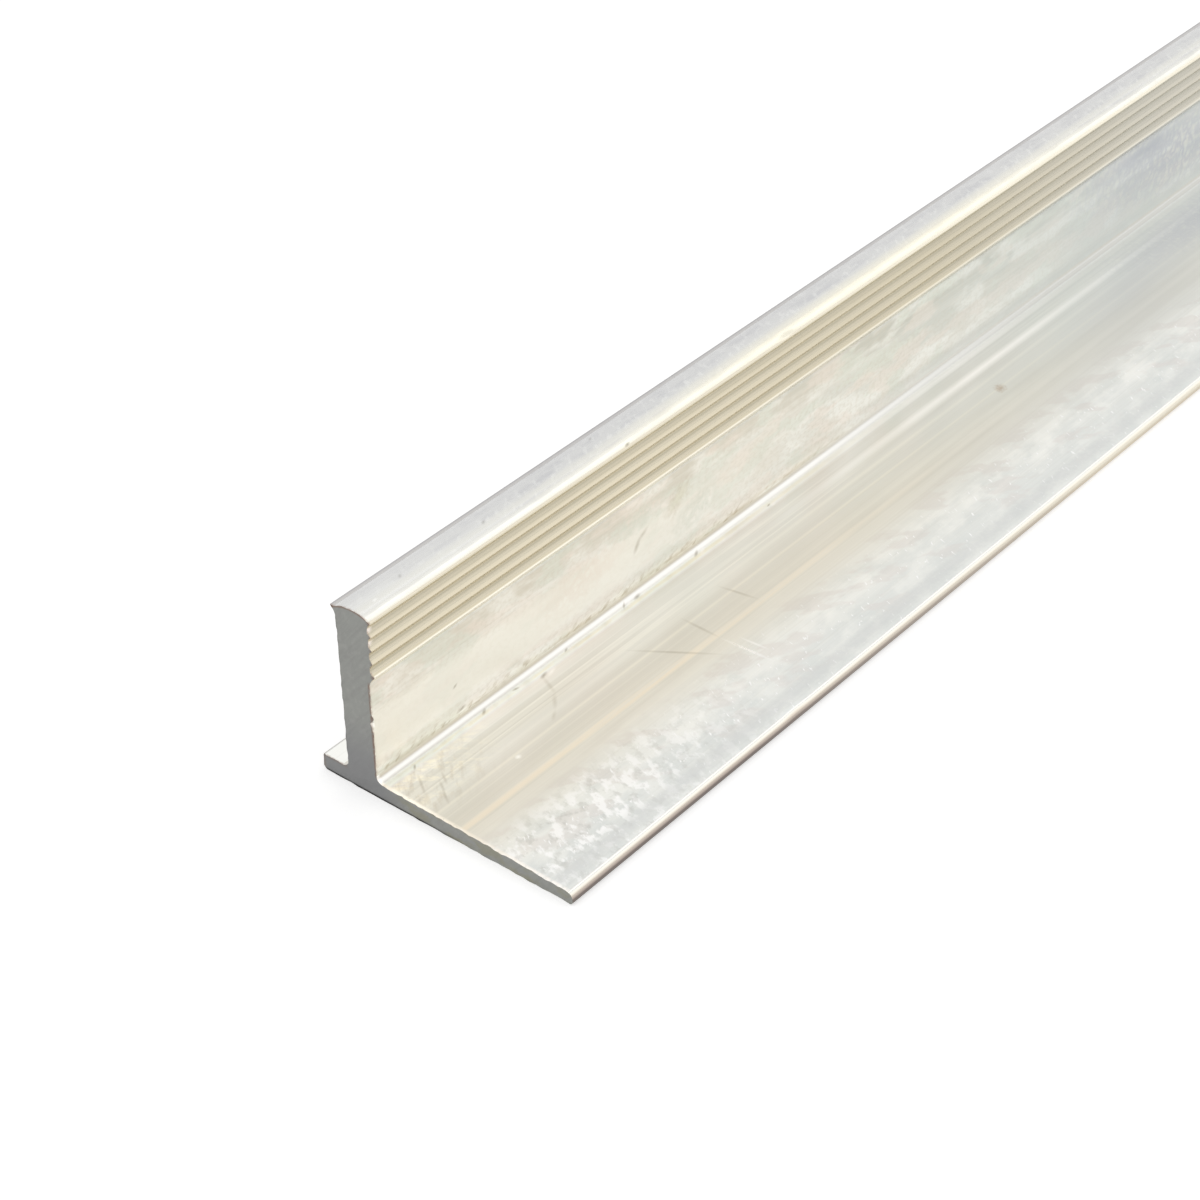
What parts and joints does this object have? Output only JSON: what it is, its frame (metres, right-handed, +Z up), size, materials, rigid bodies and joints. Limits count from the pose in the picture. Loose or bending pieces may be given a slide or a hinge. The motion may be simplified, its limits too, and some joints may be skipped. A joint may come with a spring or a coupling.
{
  "type": "aluminium extrusion profile",
  "caption": "Length of extruded aluminium edging with an offset T section, a crowned head and scalloped grooves along the front of its web, sawn square at both ends.",
  "frame": {"origin": "middle of the underside: half way along the length, half way across the base plate, on the floor", "axes": "+X along the length, away from the sawn end that the picture shows; +Y from the toe of the wide leg to the short heel; +Z up through the web to the crowned head"},
  "size_m": [1, 0.035, 0.024],
  "materials": {
    "mill_aluminium": "mill finish with fine die lines along the length, matt sawn ends"
  },
  "bodies": {
    "root": {"aluminium_profile": "mill_aluminium"}
  },
  "joints": []
}
